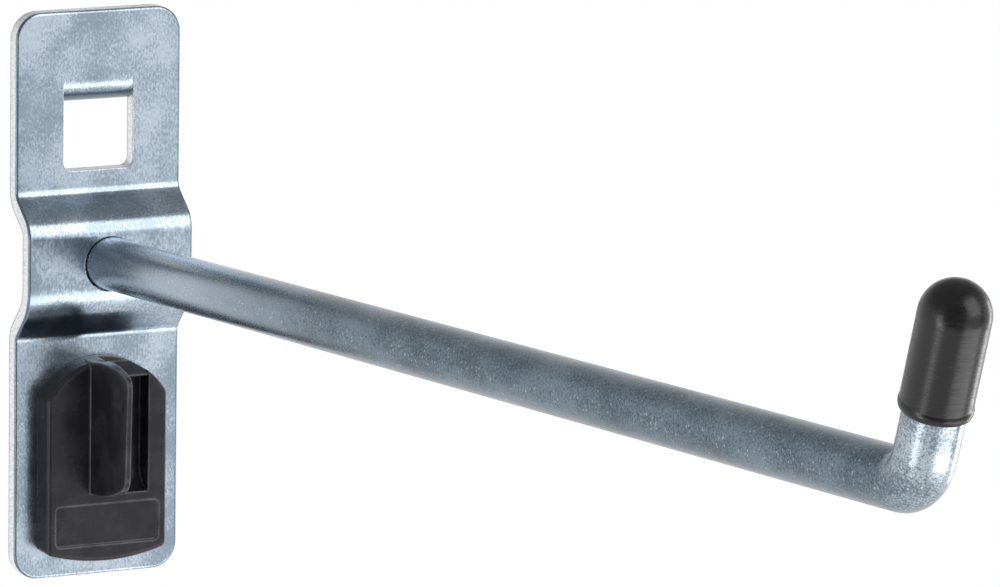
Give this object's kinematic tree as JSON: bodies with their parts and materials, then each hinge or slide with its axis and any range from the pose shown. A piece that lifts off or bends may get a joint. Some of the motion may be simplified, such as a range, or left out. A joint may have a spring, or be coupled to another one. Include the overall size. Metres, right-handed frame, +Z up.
{
  "type": "pegboard hook",
  "caption": "Hook for a square-hole pegboard: stepped steel plate with a rear tongue, long rising rod arm with a capped upturned end, and a snap-in locking clip.",
  "frame": {"origin": "centre of the upper panel hole that the tongue enters, in the plane of the panel's face, which is also the plate's back face", "axes": "+X to the right along the panel, +Y into the panel, +Z up; the arm stands out along -Y"},
  "size_m": [0.02, 0.2056, 0.0709],
  "materials": {
    "plate_zinc": "zinc plated, satin, pale blue-grey",
    "rod_zinc": "zinc plated, finely speckled along the drawn rod",
    "cap_vinyl": "soft black vinyl, semi-gloss",
    "clip_plastic": "moulded black plastic, satin"
  },
  "bodies": {
    "hook": {"base_plate": "plate_zinc", "hook_rod": "rod_zinc", "end_cap": "cap_vinyl"},
    "clip": {"locking_clip": "clip_plastic"}
  },
  "joints": [
    {"name": "clip_slide", "type": "slide", "parent": "hook", "child": "clip", "axis": [0, -1, 0], "range_m": [0, 0.00175]}
  ]
}
